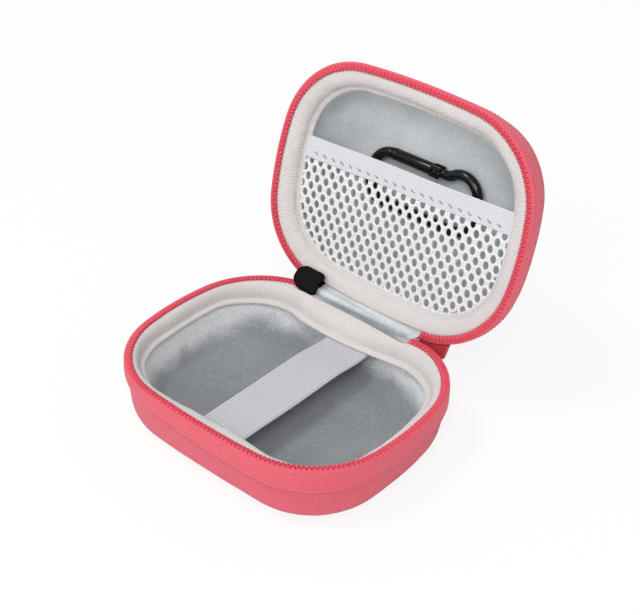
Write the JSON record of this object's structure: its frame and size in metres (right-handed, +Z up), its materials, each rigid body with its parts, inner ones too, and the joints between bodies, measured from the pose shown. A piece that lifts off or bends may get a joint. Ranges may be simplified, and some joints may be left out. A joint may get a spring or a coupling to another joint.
{
  "type": "earbud case",
  "caption": "Small hard zip case shown open: padded base with an elastic strap, hinged lid with a net pocket that holds a snap hook, coil zip with slider, and a ribbon loop.",
  "frame": {"origin": "middle of the base's flat underside", "axes": "+X along the hinge to the right as seen from the front, +Y from the front to the hinge, +Z up"},
  "size_m": [0.0904, 0.1071, 0.0869],
  "materials": {
    "cover": "ribbed twill",
    "tape": "woven tape",
    "coil": "nylon coil",
    "seam_thread": "sewing thread",
    "core": "moulded foam board",
    "base_velvet": "short velvet nap",
    "lid_velvet": "short velvet nap",
    "hinge_velvet": "short velvet nap",
    "binding": "padded knit binding",
    "strap": "ribbed elastic",
    "hinge_cloth": "woven cloth",
    "ribbon": "satin ribbon",
    "ribbon_thread": "sewing thread",
    "net": "knitted net",
    "hem": "elastic hem",
    "hem_thread": "sewing thread",
    "black_metal": "gloss black",
    "hook_metal": "gloss black",
    "pin_steel": "dark",
    "spring_steel": "plain"
  },
  "bodies": {
    "base": {"base_cover": "cover", "base_core": "core", "base_lining": "base_velvet", "base_binding": "binding", "lower_zip_tape": "tape", "lower_zip_coil": "coil", "lower_tape_seams": "seam_thread", "retaining_strap": "strap", "hang_loop": "ribbon", "loop_bar_tack": "ribbon_thread"},
    "lid": {"lid_cover": "cover", "lid_core": "core", "lid_lining": "lid_velvet", "lid_binding": "binding", "upper_zip_tape": "tape", "upper_zip_coil": "coil", "upper_tape_seams": "seam_thread", "pocket_net": "net", "pocket_hem": "hem", "hem_stitches": "hem_thread"},
    "hinge_fold": {"hinge_cover": "hinge_cloth", "hinge_lining": "hinge_velvet"},
    "slider": {"zip_slider": "black_metal"},
    "pull": {"slider_pull": "black_metal"},
    "hook": {"hook_frame": "hook_metal"},
    "gate": {"hook_gate": "hook_metal", "gate_pin": "pin_steel", "gate_plunger": "spring_steel", "gate_spring": "spring_steel"}
  },
  "joints": [
    {"name": "lid_hinge", "type": "hinge", "parent": "base", "child": "lid", "pos_m": [0, 0.03535, 0.0185], "axis": [1, 0, 0], "range_deg": [0, 105]},
    {"name": "fold_turn", "type": "hinge", "parent": "base", "child": "hinge_fold", "pos_m": [0, 0.03535, 0.0185], "axis": [1, 0, 0], "range_deg": [0, 52.5], "deforming": ["hinge_cover", "hinge_lining"]},
    {"name": "slider_travel", "type": "slide", "parent": "hinge_fold", "child": "slider", "axis": [-0.9815, -0.1165, 0.1518], "range_m": [0, 0.004]},
    {"name": "pull_swing", "type": "hinge", "parent": "slider", "child": "pull", "pos_m": [-0.02218, 0.03858, 0.01675], "axis": [1, 0, 0], "range_deg": [-4, 60]},
    {"name": "hook_slide", "type": "slide", "parent": "lid", "child": "hook", "axis": [0, 0.2588, 0.9659], "range_m": [-0.01, 0.012]},
    {"name": "gate_swing", "type": "hinge", "parent": "hook", "child": "gate", "pos_m": [0.0043, 0.06103, 0.0581], "axis": [0, -0.9659, 0.2588], "range_deg": [0, 28], "stiffness_Nm_per_rad": 0.004, "springref_deg": -28.65}
  ],
  "couplings": [
    {"joint": "fold_turn", "follows": "lid_hinge", "ratio": 0.5}
  ]
}
